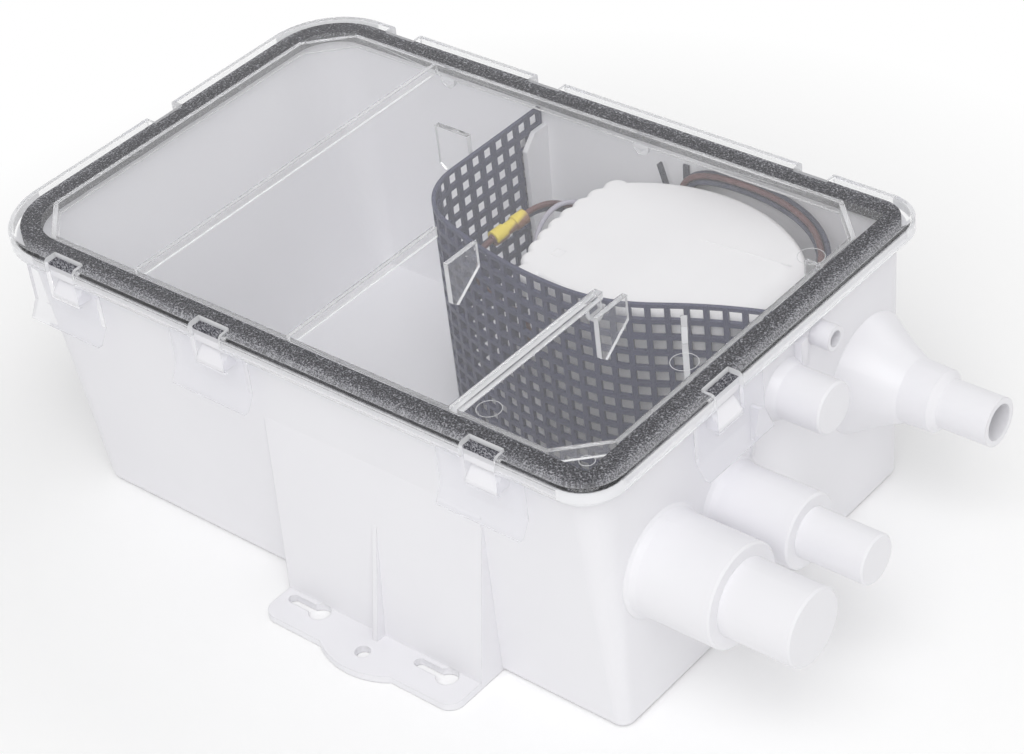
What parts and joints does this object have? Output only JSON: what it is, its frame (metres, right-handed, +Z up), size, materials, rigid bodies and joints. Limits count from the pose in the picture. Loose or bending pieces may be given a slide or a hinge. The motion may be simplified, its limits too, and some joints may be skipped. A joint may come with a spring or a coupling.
{
  "type": "shower drain pump",
  "caption": "Covered sump tub with a clear latched lid, hose ports, a curved strainer sheet and an automatic drain pump with float switch, impeller and outlet hose.",
  "frame": {"origin": "on the plane that the tub stands on, under the middle of the rim", "axes": "+X towards the end with the hose ports, +Y towards the long side with the pump and its outlet, +Z up"},
  "size_m": [0.3591, 0.2364, 0.1165],
  "materials": {
    "white_tub": "satin",
    "clear_plastic": "gloss",
    "foam_seal": "matte",
    "slate_plastic": "satin",
    "pump_white": "satin",
    "motor_steel": "satin",
    "shaft_steel": "gloss",
    "black_rubber": "matte",
    "black_nylon": "satin",
    "yellow_vinyl": "satin",
    "black_wire": "satin",
    "red_wire": "satin",
    "brown_wire": "satin",
    "grey_wire": "satin"
  },
  "bodies": {
    "tub": {"tub": "white_tub", "strainer_sheet": "slate_plastic", "pump_cover": "pump_white", "pump_body": "pump_white", "volute_plate": "pump_white", "pump_base_strainer": "pump_white", "motor": "motor_steel", "shaft_seal": "black_rubber", "float_pin": "shaft_steel", "outlet_hose": "black_rubber", "hose_clamp_pump": "shaft_steel", "hose_clamp_outlet": "shaft_steel", "crimp_connector": "yellow_vinyl", "wire_black_top": "black_wire", "wire_black_low": "black_wire", "wire_red": "red_wire", "wire_brown": "brown_wire", "wire_feed_black": "black_wire", "wire_feed_brown": "brown_wire", "wire_drop": "brown_wire", "wire_grey": "grey_wire", "cable_tie_low": "black_nylon", "cable_tie_high": "black_nylon"},
    "lid": {"lid": "clear_plastic", "lid_gasket": "foam_seal"},
    "rotor": {"motor_shaft": "shaft_steel", "impeller": "black_nylon"},
    "float": {"float": "black_nylon"},
    "latch_near_left": {"latch_near_left": "clear_plastic"},
    "latch_near_middle": {"latch_near_middle": "clear_plastic"},
    "latch_near_right": {"latch_near_right": "clear_plastic"},
    "latch_far_left": {"latch_far_left": "clear_plastic"},
    "latch_far_middle": {"latch_far_middle": "clear_plastic"},
    "latch_far_right": {"latch_far_right": "clear_plastic"},
    "latch_port_end": {"latch_port_end": "clear_plastic"},
    "latch_left_end": {"latch_left_end": "clear_plastic"}
  },
  "joints": [
    {"name": "lid_lift", "type": "slide", "parent": "tub", "child": "lid", "axis": [0, 0, 1], "range_m": [0, 0.06], "deforming": ["latch_near_left", "latch_near_middle", "latch_near_right", "latch_far_left", "latch_far_middle", "latch_far_right", "latch_port_end", "latch_left_end"]},
    {"name": "impeller_spin", "type": "hinge", "parent": "tub", "child": "rotor", "pos_m": [0.083, 0.038, 0.05], "axis": [0, 0, 1], "continuous": true},
    {"name": "float_swing", "type": "hinge", "parent": "tub", "child": "float", "pos_m": [0.0435, 0.0245, 0.0224], "axis": [1, 0, 0], "range_deg": [0, 55]},
    {"name": "latch_near_left_flex", "type": "hinge", "parent": "lid", "child": "latch_near_left", "pos_m": [-0.1025, -0.0988, 0.1103], "axis": [-1, 0, 0], "range_deg": [0, 12], "stiffness_Nm_per_rad": 0.02},
    {"name": "latch_near_middle_flex", "type": "hinge", "parent": "lid", "child": "latch_near_middle", "pos_m": [-0.0265, -0.0988, 0.1103], "axis": [-1, 0, 0], "range_deg": [0, 12], "stiffness_Nm_per_rad": 0.02},
    {"name": "latch_near_right_flex", "type": "hinge", "parent": "lid", "child": "latch_near_right", "pos_m": [0.1005, -0.0988, 0.1103], "axis": [-1, 0, 0], "range_deg": [0, 12], "stiffness_Nm_per_rad": 0.02},
    {"name": "latch_far_left_flex", "type": "hinge", "parent": "lid", "child": "latch_far_left", "pos_m": [-0.1025, 0.0988, 0.1103], "axis": [1, 0, 0], "range_deg": [0, 12], "stiffness_Nm_per_rad": 0.02},
    {"name": "latch_far_middle_flex", "type": "hinge", "parent": "lid", "child": "latch_far_middle", "pos_m": [-0.0265, 0.0988, 0.1103], "axis": [1, 0, 0], "range_deg": [0, 12], "stiffness_Nm_per_rad": 0.02},
    {"name": "latch_far_right_flex", "type": "hinge", "parent": "lid", "child": "latch_far_right", "pos_m": [0.1005, 0.0988, 0.1103], "axis": [1, 0, 0], "range_deg": [0, 12], "stiffness_Nm_per_rad": 0.02},
    {"name": "latch_port_end_flex", "type": "hinge", "parent": "lid", "child": "latch_port_end", "pos_m": [0.15, -0.0255, 0.1103], "axis": [0, -1, 0], "range_deg": [0, 12], "stiffness_Nm_per_rad": 0.02},
    {"name": "latch_left_end_flex", "type": "hinge", "parent": "lid", "child": "latch_left_end", "pos_m": [-0.15, 0, 0.1103], "axis": [0, 1, 0], "range_deg": [0, 12], "stiffness_Nm_per_rad": 0.02}
  ]
}
